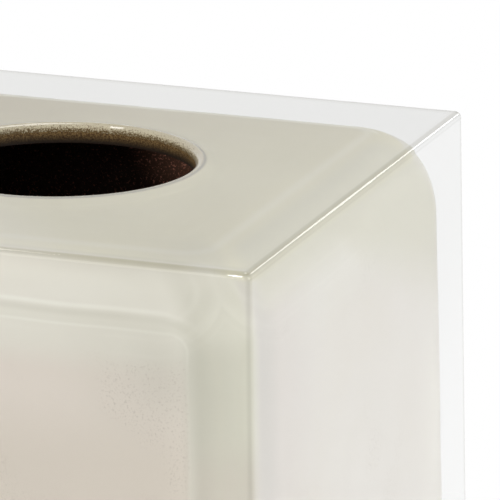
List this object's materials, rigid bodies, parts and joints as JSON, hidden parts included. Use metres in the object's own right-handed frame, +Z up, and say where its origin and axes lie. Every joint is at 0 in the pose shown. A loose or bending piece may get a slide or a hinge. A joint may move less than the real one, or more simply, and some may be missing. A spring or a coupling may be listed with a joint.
{
  "type": "tissue box cover",
  "caption": "Square cover for a boutique tissue box: clear cast outer layer over a soft-edged cream shell, dark speckled lining, round hole on top.",
  "frame": {"origin": "middle of the square footprint, on the plane that the foot pads stand on", "axes": "+Z up through the middle of the round hole, X and Y square to the side walls"},
  "size_m": [0.1402, 0.1402, 0.146],
  "materials": {
    "clear_resin": "clear, polished",
    "cream_resin": "opaque cream, satin",
    "brown_lacquer": "sprayed, speckled",
    "pad_rubber": "translucent, matte"
  },
  "bodies": {
    "root": {"clear_casting": "clear_resin", "cream_shell": "cream_resin", "brown_lining": "brown_lacquer", "foot_pad_1": "pad_rubber", "foot_pad_2": "pad_rubber", "foot_pad_3": "pad_rubber", "foot_pad_4": "pad_rubber"}
  },
  "joints": []
}
